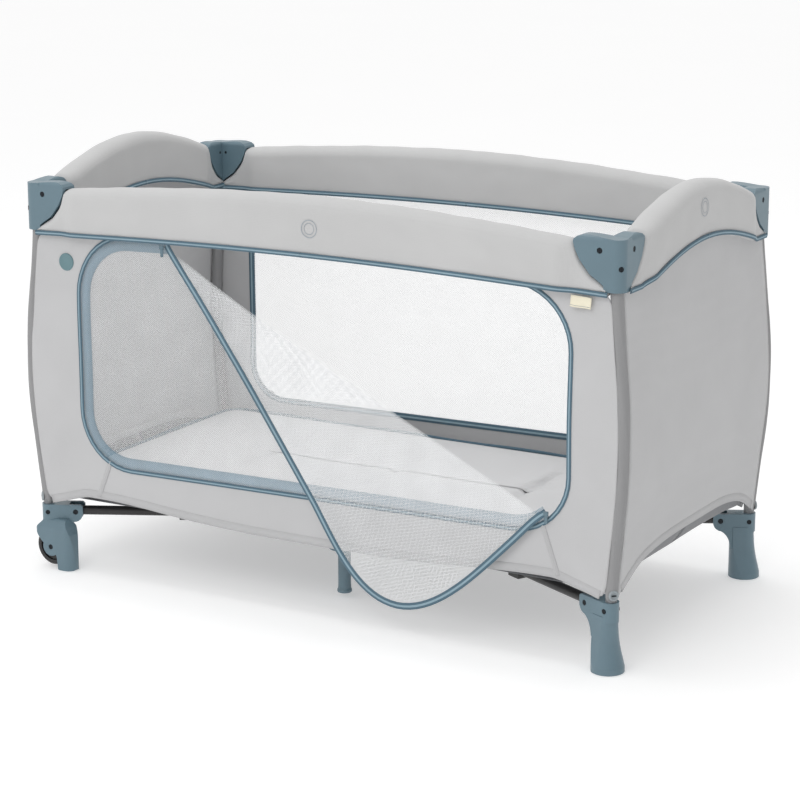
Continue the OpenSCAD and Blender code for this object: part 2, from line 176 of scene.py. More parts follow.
def thicken(o, thickness, offset=0.0):
    """Give a sheet its thickness; what was added to it before is applied too."""
    m = o.modifiers.new("thick", "SOLIDIFY")
    m.thickness = thickness
    m.offset = offset
    dg = bpy.context.evaluated_depsgraph_get()
    made = bpy.data.meshes.new_from_object(o.evaluated_get(dg))
    o.modifiers.clear()
    o.data = made


def soften(o):
    m = o.modifiers.new("soft", "SUBSURF")
    m.levels = m.render_levels = 1


def sweep(name, path, out, profile, materials, closed=False, indices=None):
    """A strip of one cross section along a path. out holds, for each point, the way the section's
    second coordinate faces; its first coordinate lies across the strip."""
    path, out = np.asarray(path, float), np.asarray(out, float)
    if out.ndim == 1:
        out = np.tile(out, (len(path), 1))
    if closed:
        along = np.roll(path, -1, 0) - np.roll(path, 1, 0)
    else:
        along = np.gradient(path, axis=0)
    along /= np.linalg.norm(along, axis=1)[:, None]
    side = np.cross(out, along)
    side /= np.linalg.norm(side, axis=1)[:, None]
    up = np.cross(along, side)
    profile = np.asarray(profile, float)
    rings = path[:, None] + side[:, None] * profile[None, :, :1] + up[:, None] * profile[None, :, 1:]
    faces = grid_faces(len(path), len(profile), closed, True)
    count = len(faces)
    picks = None if indices is None else [indices[i % len(profile)] for i in range(count)]
    if not closed:
        n, last = len(profile), (len(path) - 1) * len(profile)
        faces += [tuple(range(n)), tuple(last + i for i in reversed(range(n)))]
        picks = None if picks is None else picks + [indices[0]] * 2
    return new_mesh(name, rings.reshape(-1, 3), faces, materials, picks)


def tape_section(width, height):
    """A flat ribbon with rounded edges and a raised cord down its middle."""
    w, h = width / 2, height
    return [(-w, 0), (-w, h * 0.45), (-w * 0.82, h * 0.7), (-w * 0.30, h * 0.72), (-w * 0.16, h * 1.0),
            (w * 0.16, h * 1.0), (w * 0.30, h * 0.72), (w * 0.82, h * 0.7), (w, h * 0.45), (w, 0)]


def bound_tape(name, path, out, width, height, closed=False):
    """Binding tape, its raised cord down the middle painted lighter as a highlight."""
    # the cord's crest faces take the lighter colour: a painted highlight
    picks = [0, 0, 0, 1, 1, 1, 0, 0, 0, 0]
    materials = [MAT["binding"], MAT["binding_painted_highlight"]]
    return sweep(name, path, out, tape_section(width, height), materials, closed, picks)


def round_section(radius, sides=10, squeeze=1.0):
    turns = np.arange(sides) * 2 * math.pi / sides
    return np.stack([radius * np.cos(turns), squeeze * radius * np.sin(turns)], 1)


def bezier(a, b, c, d, count):
    t = np.linspace(0, 1, count)[:, None]
    a, b, c, d = (np.asarray(p, float) for p in (a, b, c, d))
    return a * (1 - t) ** 3 + 3 * b * t * (1 - t) ** 2 + 3 * c * t * t * (1 - t) + d * t ** 3


def resample(path, count):
    path = np.asarray(path, float)
    steps = np.concatenate([[0], np.cumsum(np.linalg.norm(np.diff(path, axis=0), axis=1))])
    wanted = np.linspace(0, steps[-1], count)
    return np.stack([np.interp(wanted, steps, path[:, i]) for i in range(path.shape[1])], 1)


# ---------------------------------------------------------------- materials
def srgb(r, g, b):
    def line(v):
        v /= 255
        return v / 12.92 if v <= 0.04045 else ((v + 0.055) / 1.055) ** 2.4
    return (line(r), line(g), line(b), 1)


class Paint:
    """A Principled material and short calls for the nodes that drive it."""

    def __init__(self, name, color, roughness=0.5, **sockets):
        self.m = bpy.data.materials.new(name)
        self.m.use_nodes = True
        self.t = self.m.node_tree
        self.p = self.t.nodes["Principled BSDF"]
        self.p.inputs["Base Color"].default_value = color
        self.p.inputs["Roughness"].default_value = roughness
        for k, v in sockets.items():
            self.p.inputs[k.replace("_", " ")].default_value = v
        self.color = color

    def node(self, kind, **values):
        n = self.t.nodes.new(kind)
        for k, v in values.items():
            setattr(n, k, v)
        return n

    def link(self, a, b):
        self.t.links.new(a, b)

    def place(self, scale=(1, 1, 1), turn=(0, 0, 0)):
        coords = self.node("ShaderNodeTexCoord")
        mapping = self.node("ShaderNodeMapping")
        mapping.inputs["Scale"].default_value = scale
        mapping.inputs["Rotation"].default_value = turn
        self.link(coords.outputs["Object"], mapping.inputs["Vector"])
        return mapping.outputs["Vector"]

    def noise(self, scale, detail=3.0, stretch=(1, 1, 1)):
        n = self.node("ShaderNodeTexNoise")
        n.inputs["Scale"].default_value = scale
        n.inputs["Detail"].default_value = detail
        self.link(self.place(stretch), n.inputs["Vector"])
        return n.outputs["Fac"]

    def wave(self, scale, direction):
        n = self.node("ShaderNodeTexWave", bands_direction=direction)
        n.inputs["Scale"].default_value = scale
        n.inputs["Detail Scale"].default_value = 2.0
        self.link(self.place(), n.inputs["Vector"])
        return n.outputs["Fac"]

    def math(self, what, a, b=None):
        n = self.node("ShaderNodeMath", operation=what)
        for i, v in enumerate((a, b)):
            if v is None:
                continue
            if isinstance(v, (int, float)):
                n.inputs[i].default_value = v
            else:
                self.link(v, n.inputs[i])
        return n.outputs[0]

    def ramp(self, fac, stops):
        n = self.node("ShaderNodeValToRGB")
        r = n.color_ramp
        while len(r.elements) < len(stops):
            r.elements.new(0.5)
        for e, (at, color) in zip(r.elements, stops):
            e.position = at
            e.color = color
        self.link(fac, n.inputs["Fac"])
        return n.outputs["Color"]

    def span(self, fac, low, high):
        n = self.node("ShaderNodeMapRange")
        n.inputs["To Min"].default_value = low
        n.inputs["To Max"].default_value = high
        self.link(fac, n.inputs["Value"])
        return n.outputs["Result"]

    def tint(self, fac, spread):
        """Base colour that varies by spread each way with fac."""
        dark = tuple(c * (1 - spread) for c in self.color[:3]) + (1,)
        light = tuple(min(1, c * (1 + spread)) for c in self.color[:3]) + (1,)
        self.link(self.ramp(fac, [(0.3, dark), (0.7, light)]), self.p.inputs["Base Color"])
        return self

    def rough(self, fac, low, high):
        self.link(self.span(fac, low, high), self.p.inputs["Roughness"])
        return self

    def bump(self, height, strength, distance):
        n = self.node("ShaderNodeBump")
        n.inputs["Strength"].default_value = strength
        n.inputs["Distance"].default_value = distance
        self.link(height, n.inputs["Height"])
        if self.p.inputs["Normal"].links:
            self.link(self.p.inputs["Normal"].links[0].from_socket, n.inputs["Normal"])
        self.link(n.outputs["Normal"], self.p.inputs["Normal"])
        return self


def moulded_plastic(name, color, roughness=0.34):
    p = Paint(name, color, roughness, Specular_IOR_Level=0.5)
    p.tint(p.noise(14, 4), 0.04)
    p.rough(p.noise(60, 3), roughness - 0.06, roughness + 0.08)
    p.bump(p.noise(900, 2), 0.10, 0.0004)
    return p.m


def painted_tube(name, color, roughness=0.32, coat=0.25):
    p = Paint(name, color, roughness, Specular_IOR_Level=0.4, Coat_Weight=coat, Coat_Roughness=0.25)
    p.tint(p.noise(30, 3), 0.12)
    p.rough(p.noise(120, 3), roughness - 0.05, roughness + 0.14)
    p.bump(p.noise(450, 2), 0.08, 0.0004)
    return p.m


def woven(name, color, scale=1100, sheen=0.25, spread=0.03, crease=0.35):
    """Tight plain weave: crossed fine ribs, faint cloudiness and soft creases."""
    p = Paint(name, color, 0.78, Specular_IOR_Level=0.25, Sheen_Weight=sheen, Sheen_Roughness=0.45)
    ribs = [p.wave(scale / 10, d) for d in ("X", "Y", "Z")]
    weave = p.math("MAXIMUM", p.math("MAXIMUM", ribs[0], ribs[1]), ribs[2])
    cloud = p.noise(7, 4)
    p.tint(p.math("ADD", p.math("MULTIPLY", cloud, 0.8), p.math("MULTIPLY", weave, 0.2)), spread)
    p.rough(p.noise(90, 3), 0.70, 0.88)
    p.bump(p.noise(9, 3, (1, 1, 0.45)), crease, 0.004)
    p.bump(weave, 0.30, 0.0004)
    return p.m


def mesh_cloth(name, color, pitch, hole, turn=math.pi / 4):
    """Knitted net in the plane of a long wall: staggered round holes, seen through where a hole is."""
    p = Paint(name, color, 0.7, Specular_IOR_Level=0.2, Sheen_Weight=0.2)
    n = p.node("ShaderNodeTexVoronoi", voronoi_dimensions="2D", feature="F1")
    n.inputs["Scale"].default_value = 1 / pitch
    n.inputs["Randomness"].default_value = 0.12
    p.link(p.place(turn=(math.pi / 2, 0, turn)), n.inputs["Vector"])
    cells = n.outputs["Distance"]
    p.link(p.math("GREATER_THAN", cells, hole), p.p.inputs["Alpha"])
    p.tint(p.noise(25, 3), 0.05)
    p.bump(cells, 0.4, 0.0006)
    return p.m


def build_materials():
    return {
        "plastic": moulded_plastic("blue_grey_plastic", srgb(99, 122, 133)),
        "snap": moulded_plastic("snap_plastic", srgb(150, 158, 162)),
        "dark_plastic": moulded_plastic("dark_plastic", srgb(45, 46, 48), 0.5),
        "post_tube": painted_tube("grey_tube", srgb(120, 122, 125)),
        "black_tube": painted_tube("black_tube", srgb(38, 37, 37)),
        "fabric": woven("wall_fabric", srgb(189, 189, 190)),
        "cover_fabric": woven("cover_fabric", srgb(191, 191, 191)),
        # a little darker than the wall fabric: painted shade on the hems and seam strips
        "hem": woven("hem_fabric_painted_shade", srgb(182, 182, 183)),
        "sleeve_fabric": woven("sleeve_fabric", srgb(144, 144, 145), crease=0.2),
        "floor_fabric": woven("floor_fabric", srgb(120, 121, 124)),
        "pad": woven("pad_fabric", srgb(214, 214, 215), spread=0.02, crease=0.5),
        "binding": woven("binding_tape", srgb(84, 108, 122), 1500, 0.1, 0.06, 0.1),
        # lighter copy of the binding colour: painted highlight along the tape's raised cord
        "binding_painted_highlight": woven("binding_highlight_stripe", srgb(140, 164, 176), 1500, 0.1, 0.05, 0.1),
        "mesh": mesh_cloth("white_net", srgb(244, 245, 246), 0.0026, 0.45),
        "flap_net": mesh_cloth("flap_net", srgb(238, 239, 240), 0.0026, 0.45, 0.1),
        "net_blue": mesh_cloth("blue_net", srgb(150, 172, 186), 0.0026, 0.36),
        "label": woven("label_cloth", srgb(236, 229, 207), 1800, 0.1, 0.03, 0.1),
        "print": woven("print_ink", srgb(150, 160, 168), 1100, 0.1, 0.03, 0.1),
        "wheel_plastic": painted_tube("black_wheel", srgb(24, 24, 25), 0.22),
        "screw_steel": painted_tube("dark_screw", srgb(12, 22, 30), 0.5, 0.0),
        "badge_rubber": moulded_plastic("badge_rubber", srgb(103, 133, 139), 0.6),
    }


MAT = build_materials()


def finish_piece(o, body, slot, *nodes):
    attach(o, body)
    if nodes:
        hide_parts(*nodes)
    return o


# ---------------------------------------------------------------- CAD nodes that stay
def dress_cad_nodes():
    slots = {s["node"]: s["material_slot"] for s in frame["record"]["subparts"]}
    for name, o in frame["nodes"].items():
        o.data.materials.clear()
        o.data.materials.append(MAT[slots[name]])
        if slots[name] in ("plastic", "dark_plastic", "wheel_plastic"):
            edge = o.modifiers.new("edge", "BEVEL")
            edge.width = 0.0012
            edge.segments = 2
            edge.limit_method = "ANGLE"
            edge.angle_limit = math.radians(40)
            edge.harden_normals = True


# ---------------------------------------------------------------- walls
def wall_y(x, z):
    """Distance of a long wall's surface from the middle plane."""
    x, z = np.asarray(x, float), np.asarray(z, float)
    side = np.abs(x) / POST_X
    pulled = BOW_ASIDE * bow(z) * side ** 2
    slack = 0.0035 * np.sin(math.pi * np.clip((z - 0.14) / 0.52, 0, 1)) * (1 - side ** 2)
    ripple = 0.0012 * np.sin(x * 31 + z * 9) * np.sin(z * 23 - x * 4) * side
    return WALL_Y + pulled - slack + ripple


def edge_x(z):
    """Where a long wall meets its post sleeve."""
    return POST_X - EDGE + BOW * bow(z)


LONG_WING = POST_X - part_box("bracket_rr")[0].x     # reach of a bracket's long wing from the post axis
END_WING = POST_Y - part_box("bracket_rr")[0].y
LONG_STOP = POST_X - 0.0125                        # where a cover ends beside the post
END_STOP = POST_Y - 0.0125

WINDOW = {"low": 0.222, "high": 0.6565, "left": -0.497, "right": 0.519, "corner": 0.105}
REAR_WINDOW = {"low": 0.215, "high": 0.6545, "left": -0.530, "right": 0.530, "corner": 0.075}


def window_outline(w, count=160, inset=0.0):
    """Rounded window edge as (x, z), from its lower right corner round by the top."""
    r = w["corner"] - inset
    l, rt, b, t = w["left"] + inset, w["right"] - inset, w["low"] + inset, w["high"] - inset
    pts = []
    corners = ((rt - r, b + r, -90), (rt - r, t - r, 0), (l + r, t - r, 90), (l + r, b + r, 180))
    for cx, cz, start in corners:
        for i in range(13):
            a = math.radians(start + 90 * i / 12)
            pts.append((cx + r * math.cos(a), cz + r * math.sin(a)))
    pts.append(pts[0])
    path = resample(pts, count + 1)[:-1]
    # the top edge rises to the middle and the bottom edge sags between the corners
    share = np.clip((path[:, 1] - b) / (t - b), 0, 1)
    mid = np.cos(np.clip(np.abs(path[:, 0]) / 0.56, 0, 1) * math.pi / 2)
    path[:, 1] += 0.013 * mid * share ** 3 + 0.014 * (1 - share) ** 2 * (path[:, 0] + 0.5)
    return path


def outer_outline():
    """Edge of a long wall as (x, z): the hem, the right sleeve, the cover's seam and the left sleeve."""
    bottom = [(x, long_hem(x)) for x in np.linspace(-0.586, 0.586, 60)]
    right = [(edge_x(z), z) for z in np.linspace(0.150, 0.650, 30)]
    top = [(x, long_bottom(x) + 0.010) for x in np.linspace(0.586, -0.586, 60)]
    left = [(-x, z) for x, z in reversed(right)]
    return np.array(bottom + right + top + left)


def angles_about(points, centre):
    """Unbroken run of angles of (x, z) points about a centre, on a wall stretched to a square."""
    half_length, half_height = 0.55, 0.26
    across, up = (points - centre).T
    return np.unwrap(np.arctan2(up / half_height, across / half_length))


def ring_wall(name, hole, side, material):
    """A fabric border between a window outline and the wall's own edge."""
    rings = 18
    centre = hole.mean(0)
    edge = outer_outline()
    edge = np.vstack([edge, edge[:1]])
    steps = np.concatenate([[0], np.cumsum(np.linalg.norm(np.diff(edge, axis=0), axis=1))])
    fine = np.linspace(0, steps[-1], 4000)
    dense = np.stack([np.interp(fine, steps, edge[:, i]) for i in (0, 1)], 1)
    hole_angle, edge_angle = angles_about(hole, centre), angles_about(dense, centre)
    order = np.argsort(edge_angle)
    turn = 2 * math.pi
    low = edge_angle[order][0]
    wanted = (hole_angle - low) % turn + low
    outer = np.stack([np.interp(wanted, edge_angle[order], dense[order, i]) for i in (0, 1)], 1)
    t = np.linspace(0, 1, rings)[None, :, None]
    flat = hole[:, None] * (1 - t) + outer[:, None] * t
    y = side * wall_y(flat[..., 0], flat[..., 1])
    return grid(name, np.stack([flat[..., 0], y, flat[..., 1]], -1), material, close_u=True)


def on_long_wall(path, side, lift):
    """A wall outline's (x, z) points as 3-D points just outside the wall."""
    path = np.asarray(path, float)
    return np.stack([path[:, 0], side * (wall_y(path[:, 0], path[:, 1]) + lift), path[:, 1]], 1)


def build_front_wall():
    hole = window_outline(WINDOW)
    wall = ring_wall("front_wall", hole, -1, MAT["fabric"])
    soften(wall)
    thicken(wall, CLOTH)
    finish_piece(wall, "post_fr", "fabric", "panel_front")
    squash_long(wall)
    path = on_long_wall(window_outline(WINDOW, inset=-0.004), -1, 0.0009)
    tape = bound_tape("window_tape", path, (0, -1, 0), 0.0085, 0.0022, True)
    finish_piece(tape, "post_fr", "fabric")
    squash_long(tape)


def build_rear_wall():
    hole = window_outline(REAR_WINDOW)
    wall = ring_wall("rear_wall", hole, 1, MAT["fabric"])
    soften(wall)
    thicken(wall, CLOTH)
    finish_piece(wall, "post_rr", "fabric", "panel_rear")
    squash_long(wall)
    for k, lift, facing in (("outside", 0.0009, 1), ("inside", -0.0009, -1)):
        path = on_long_wall(window_outline(REAR_WINDOW, inset=-0.004), 1, lift)
        tape = bound_tape("rear_window_tape_" + k, path, (0, facing, 0), 0.0125, 0.0022, True)
        finish_piece(tape, "post_rr", "fabric")
        squash_long(tape)
    net = filled_window("rear_net", REAR_WINDOW, 1, MAT["mesh"])
    finish_piece(net, "post_rr", "mesh")
    squash_long(net)


def filled_window(name, w, side, material):
    """Net over a whole window, as rings that shrink towards its middle."""
    rim = window_outline(w, inset=-0.003)
    centre = rim.mean(0)
    t = np.linspace(0, 1, 26)[None, :, None]
    flat = rim[:, None] * (1 - t) + centre * t
    y = side * wall_y(flat[..., 0], flat[..., 1])
    return grid(name, np.stack([flat[..., 0], y, flat[..., 1]], -1), material, close_u=True)


def squash_long(o):
    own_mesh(o)


def squash_end(o):
    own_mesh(o)


def squash_cover(o):
    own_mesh(o)


def end_x(y, z):
    y, z = np.asarray(y, float), np.asarray(z, float)
    side = np.abs(y) / POST_Y
    slack = 0.004 * np.sin(math.pi * np.clip((z - 0.15) / 0.52, 0, 1)) * (1 - side ** 2)
    ripple = 0.0010 * np.sin(y * 47 + z * 11) * np.sin(z * 19 + y * 8) * side
    return WALL_X + BOW * bow(z) - slack + ripple


def build_end_wall(name, side, body, node):
    u = np.linspace(-1, 1, 57)
    v = np.linspace(0, 1, 45)
    rows = []
    for a in u:
        y0 = a * (POST_Y - EDGE)
        low, high = end_hem(y0), end_bottom(y0) + 0.010
        z = low + (high - low) * v
        y = a * (POST_Y - EDGE + BOW_ASIDE * bow(z))
        rows.append(np.stack([side * end_x(y, z), y, z], -1))
    wall = grid(name, np.array(rows), MAT["fabric"])
    thicken(wall, CLOTH)
    finish_piece(wall, body, "fabric", node)
    squash_end(wall)


def hem_roll(name, path, body, out):
    """The turned and stitched lower edge of a wall, in the hem fabric whose darker tone is painted shade."""
    section = [(-0.0075, -0.0017), (0.0075, -0.0017), (0.0084, 0), (0.0075, 0.0017), (0, 0.0011),
               (-0.0075, 0.0017), (-0.0080, 0)]
    o = sweep(name, path, out, section, MAT["hem"])
    finish_piece(o, body, "fabric")
    return o


def build_hems():
    x = np.linspace(-0.584, 0.584, 90)
    for name, side, body in (("front_hem", -1, "post_fr"), ("rear_hem", 1, "post_rr")):
        z = long_hem(x) + 0.0065
        squash_long(hem_roll(name, np.stack([x, side * wall_y(x, z), z], 1), body, (0, side, 0)))
    y = np.linspace(-0.290, 0.290, 60)
    for name, side, body in (("left_hem", -1, "post_fl"), ("right_hem", 1, "post_rr")):
        z = end_hem(y) + 0.0065
        squash_end(hem_roll(name, np.stack([side * end_x(y, z), y, z], 1), body, (side, 0, 0)))


# ---------------------------------------------------------------- mesh door
ZIP_TOP, ZIP_SIDE = (-0.297, 0.661), (0.482, 0.271)     # where the open zip starts and ends, (x, z)


def fold_line(count):
    return bezier((-0.292, 0.650), (-0.080, 0.520), (0.180, 0.405), (0.470, 0.262), count)


def free_edge(count):
    upper = np.linspace(ZIP_TOP, (0.030, 0.220), 40)
    upper[:, 0] += 0.010 * np.sin(np.linspace(0, math.pi, 40))
    lower = np.vstack([bezier((0.030, 0.220), (0.078, 0.140), (0.118, 0.064), (0.196, 0.060), 30)[1:],
                       bezier((0.196, 0.060), (0.276, 0.058), (0.350, 0.140), (0.430, 0.222), 30)[1:],
                       bezier((0.430, 0.222), (0.452, 0.246), (0.466, 0.262), ZIP_SIDE, 12)[1:]])
    return resample(np.vstack([upper, lower]), count)


def flap_points():
    """The door's loose corner: from the fold on the window plane out to its taped edge."""
    count, rows = 90, 34
    fold, edge = resample(fold_line(200), count), resample(free_edge(300), count)
    t = np.linspace(0, 1, rows)
    pts = np.zeros((count, rows, 3))
    for i in range(count):
        s = i / (count - 1)
        flat = fold[i] * (1 - t[:, None]) + edge[i] * t[:, None]
        size = math.sin(math.pi * min(max(s, 0), 1)) ** 0.6
        out = 0.0035 + (0.022 * np.sin(np.minimum(t * 1.15, 1) * math.pi / 2)) * size
        wave = 0.0035 * np.sin(9.0 * s + 5 * t) * t * size
        y = -(wall_y(np.clip(flat[:, 0], -0.59, 0.59), np.clip(flat[:, 1], 0.14, 0.66)) + out + wave)
        pts[i] = np.stack([flat[:, 0], y, flat[:, 1]], 1)
    return pts


def build_door():
    pts = flap_points()
    flap = grid("door_net_flap", pts, MAT["flap_net"])
    finish_piece(flap, "post_fr", "mesh", "door_flap")
    squash_long(flap)
    tape = bound_tape("flap_tape", pts[:, -1], (0, -1, 0), 0.0125, 0.0020)
    finish_piece(tape, "post_fr", "fabric")
    squash_long(tape)
    fold = resample(fold_line(200), 120)
    fold[:, 1] += 0.0015
    rim = zipped_rim(-0.003, 120)
    t = np.linspace(0, 1, 34)[None, :, None]
    flat = fold[:, None] * (1 - t) + rim[:, None] * t
    y = -(wall_y(flat[..., 0], flat[..., 1]) - 0.0008)
    net = grid("door_net", np.stack([flat[..., 0], y, flat[..., 1]], -1), MAT["mesh"])
    finish_piece(net, "post_fr", "mesh")
    squash_long(net)
    band = sweep("door_band", on_long_wall(zipped_rim(0.010, 130), -1, -0.0002), (0, -1, 0),
                 [(-0.011, 0), (-0.011, 0.0006), (0.011, 0.0006), (0.011, 0)], MAT["net_blue"])
    finish_piece(band, "post_fr", "mesh")
    squash_long(band)


def zipped_rim(inset, count):
    """The part of the window's outline where the door is still attached: from the open zip's
    upper end down the left side and along the bottom to its lower end."""
    rim = window_outline(WINDOW, 400, inset)
    start = np.argmin(np.hypot(rim[:, 0] - ZIP_TOP[0], rim[:, 1] - ZIP_TOP[1]))
    path = np.roll(rim, -start, 0)
    stop = np.argmin(np.hypot(path[:, 0] - ZIP_SIDE[0], path[:, 1] - ZIP_SIDE[1]))
    return resample(path[:stop + 1], count)


# ---------------------------------------------------------------- padded covers
def pad_ring(top, bottom, half, count=40):
    """A cover's cross section as (outwards, height): a soft arch over the rail, pinched at its
    two lower seams."""
    height = top - bottom
    r = min(half * 0.86, height * 0.42)
    pts = []
    for i in range(count // 2):                       # over the top, outside to inside
        a = math.pi * i / (count // 2 - 1)
        rounded = math.copysign(abs(math.cos(a)) ** 0.8, math.cos(a))
        pts.append(((half - r) * math.cos(a) + r * rounded, top - r + r * math.sin(a) ** 0.85))
    side = [(-half * (1.0 + 0.05 * math.sin(math.pi * k)), (top - r) * (1 - k) + (bottom + 0.010) * k)
            for k in np.linspace(0.1, 1, 8)]
    low = [(-half * 0.93, bottom + 0.002), (-half * 0.55, bottom - 0.001), (0, bottom + 0.001),
           (half * 0.55, bottom - 0.001), (half * 0.93, bottom + 0.002)]
    other = [(-x, z) for x, z in reversed(side)]
    return np.array(pts + side + low + other)


WING_EDGE = [(0.07, 0.664), (0.31, 0.678), (0.57, 0.690), (0.83, 0.713), (0.95, 0.730), (1.00, 0.743)]


def under_wing(distance, wing, top):
    """Height a cover may reach below a bracket wing of that length, at that distance from the post axis."""
    edge = [(wing * part, height) for part, height in WING_EDGE] + [(wing + 0.005, top)]
    return float(np.interp(distance, [e[0] for e in edge], [e[1] for e in edge]))


def tucked(distance, wing):
    """Half thickness of a cover: it is drawn in where it passes behind a bracket wing."""
    return PAD - 0.0005 - (PAD - 0.0195) * smooth((wing + 0.030 - distance) / 0.040)


def long_section(x):
    away = POST_X - x
    return under_wing(away, LONG_WING, float(long_top(x))), float(long_bottom(x)), tucked(away, LONG_WING)


def end_section(y):
    away = POST_Y - y
    return under_wing(away, END_WING, float(end_top(y))), float(end_bottom(y)), tucked(away, END_WING)


def wrinkle(u, around):
    """Small soft dents along and round a cover."""
    return 0.0007 * math.sin(u * 57 + around * 2.1) * math.sin(u * 23 - around)


def cover_points(section, start, stop, steps, place):
    rows = []
    for u in np.linspace(start, stop, steps):
        top, bottom, half = section(u)
        ring = pad_ring(top, bottom, half)
        mid = np.array([0, (top + bottom) / 2])
        away = ring - mid
        length = np.linalg.norm(away, axis=1)[:, None]
        turn = np.arctan2(away[:, 1], away[:, 0])
        dent = np.array([wrinkle(u, t) for t in turn])[:, None]
        ring = ring + away / length * dent
        rows.append([place(u, o, z) for o, z in ring])
    return np.array(rows)


def closed_grid(name, pts, material):
    """A tube of rings whose two ends are closed."""
    nu, nv = pts.shape[:2]
    faces = grid_faces(nu, nv, False, True)
    count = nu * nv
    verts = np.vstack([pts.reshape(-1, 3), pts[0], pts[-1], [pts[0].mean(0)], [pts[-1].mean(0)]])
    for j in range(nv):
        k = (j + 1) % nv
        faces.append((count + 2 * nv, count + k, count + j))
        faces.append((count + 2 * nv + 1, count + nv + j, count + nv + k))
    return new_mesh(name, verts, faces, material)


def build_cover(name, section, stop, steps, place, rail):
    pts = cover_points(section, 0.0, stop, steps, place)
    o = closed_grid(name, pts, MAT["cover_fabric"])
    finish_piece(o, rail, "cover_fabric", rail.replace("rail_", "cover_"))
    squash_cover(o)
    # piping along the two lower seams
    low_out, low_in = [], []
    for u in np.linspace(0.0, stop + 0.004, steps):
        _, bottom, half = section(u)
        low_out.append((u, half + 0.0006, bottom + 0.004))
        low_in.append((u, -half - 0.0006, bottom + 0.004))
    for k, line, facing in (("out", low_out, 1), ("in", low_in, -1)):
        path = np.array([place(*p) for p in line])
        ahead = np.array(place(0.1, facing, 0)) - np.array(place(0.1, 0, 0))
        tape = bound_tape(name + "_piping_" + k, path, ahead, 0.0088, 0.0030)
        finish_piece(tape, rail, "fabric")
        squash_cover(tape)


def build_covers():
    for name, sx, sy in (("front_l", -1, -1), ("front_r", 1, -1), ("rear_l", -1, 1), ("rear_r", 1, 1)):
        def on_side(u, o, z):
            return (sx * u, sy * (POST_Y + o), z)
        build_cover("cover_pad_" + name, long_section, LONG_STOP, 96, on_side, "rail_" + name)
    for name, sx, sy in (("left_f", -1, -1), ("left_r", -1, 1), ("right_f", 1, -1), ("right_r", 1, 1)):
        def on_end(u, o, z):
            return (sx * (POST_X + o), sy * u, z)
        build_cover("cover_pad_" + name, end_section, END_STOP, 64, on_end, "rail_" + name)


# ---------------------------------------------------------------- posts, sleeves
def build_posts():
    z = np.linspace(BOW_LOW - 0.006, BOW_HIGH + 0.006, 60)
    sides = 28
    turns = np.arange(sides) * 2 * math.pi / sides
    for k, (sx, sy) in CORNERS.items():
        line = np.stack([sx * (POST_X + BOW * bow(z)), sy * (POST_Y + BOW_ASIDE * bow(z)), z], 1)
        rows = []
        for p, h in zip(line, z):
            gather = 0.0004 * np.sin(turns * 5 + h * 40)
            r = SLEEVE_R + gather - 0.0015 * smooth((BOW_LOW + 0.012 - h) / 0.014)
            rows.append(np.stack([p[0] + r * np.cos(turns), p[1] + r * np.sin(turns), np.full(sides, h)], -1))
        sleeve = grid("post_sleeve_" + k, np.array(rows), MAT["sleeve_fabric"], close_v=True)
        thicken(sleeve, 0.0012, -1.0)
        finish_piece(sleeve, "post_" + k, "sleeve_fabric", "sleeve_" + k)
        z2 = np.linspace(0.099, 0.742, 60)
        line = np.stack([sx * (POST_X + BOW * bow(z2)), sy * (POST_Y + BOW_ASIDE * bow(z2)), z2], 1)
        tube = sweep("post_tube_" + k, line, (0, 1, 0), round_section(0.0099, 24), MAT["post_tube"])
        finish_piece(tube, "post_" + k, "post_tube", "post_" + k)


# ---------------------------------------------------------------- mattress and floor
def mattress_rim(inset):
    hx, hy = MAT_HIGH.x - inset, MAT_HIGH.y - inset
    r = min(max(0.040 - inset, 0.006), hy)
    pts = []
    corners = ((hx - r, -hy + r, -90), (hx - r, hy - r, 0), (-hx + r, hy - r, 90), (-hx + r, -hy + r, 180))
    for cx, cy, start in corners:
        for i in range(9):
            a = math.radians(start + 90 * i / 8)
            pts.append((cx + r * math.cos(a), cy + r * math.sin(a)))
    pts.append(pts[0])
    return resample(pts, 201)[:-1]


def mattress_top(x, y):
    """Height of the mattress face over its rim: padded panels between fold seams, and soft waves."""
    edge = smooth((MAT_HIGH.x - np.abs(x)) / 0.05) * smooth((MAT_HIGH.y - np.abs(y)) / 0.05)
    panel = 2 * MAT_HIGH.x / 4
    seam = np.abs((x / panel + 2) % 1 - 0.5) * 2
    crease = 1 - np.exp(-((1 - seam) / 0.045) ** 2)
    waves = 0.0016 * np.sin(x * 21 + 1.3) * np.sin(y * 17 + 0.4) + 0.0012 * np.sin(x * 9 - y * 12)
    return edge * (0.0075 * crease + waves * crease)


def build_mattress():
    low, high = MAT_LOW.z, MAT_HIGH.z
    seam = high - 0.010
    layers = [(0.010, low + 0.001), (0.003, low + 0.006), (0.0, low + 0.016), (-0.001, (low + seam) / 2),
              (0.0, seam - 0.006), (0.003, seam), (0.009, seam + 0.003)]
    rows = []
    for inset, z in layers:
        rim = mattress_rim(inset)
        rows.append(np.column_stack([rim, np.full(len(rim), z)]))
    for inset in np.linspace(0.016, MAT_HIGH.y - 0.0003, 28):
        rim = mattress_rim(inset)
        rows.append(np.column_stack([rim, seam + 0.003 + mattress_top(rim[:, 0], rim[:, 1])]))
    pts = np.array(rows)
    nu, nv = pts.shape[:2]
    faces = grid_faces(nu, nv, False, True)
    faces.append(tuple(range(nv)))
    faces.append(tuple((nu - 1) * nv + j for j in reversed(range(nv))))
    pad = new_mesh("mattress_pad", pts.reshape(-1, 3), [f[::-1] for f in faces], MAT["pad"])
    finish_piece(pad, "mattress", "pad", "mattress")
    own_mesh(pad)
    rim = mattress_rim(0.0015)
    wobble = 0.0011 * np.sin(np.arange(len(rim)) * 2 * math.pi * 11 / len(rim))
    path = np.column_stack([rim, seam + 0.003 + wobble])
    away = np.column_stack([rim, np.zeros(len(rim))])
    away /= np.linalg.norm(away, axis=1)[:, None]
    piping = sweep("mattress_piping", path, away, round_section(0.0036, 10), MAT["binding"], True)
    finish_piece(piping, "mattress", "fabric")
    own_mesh(piping)


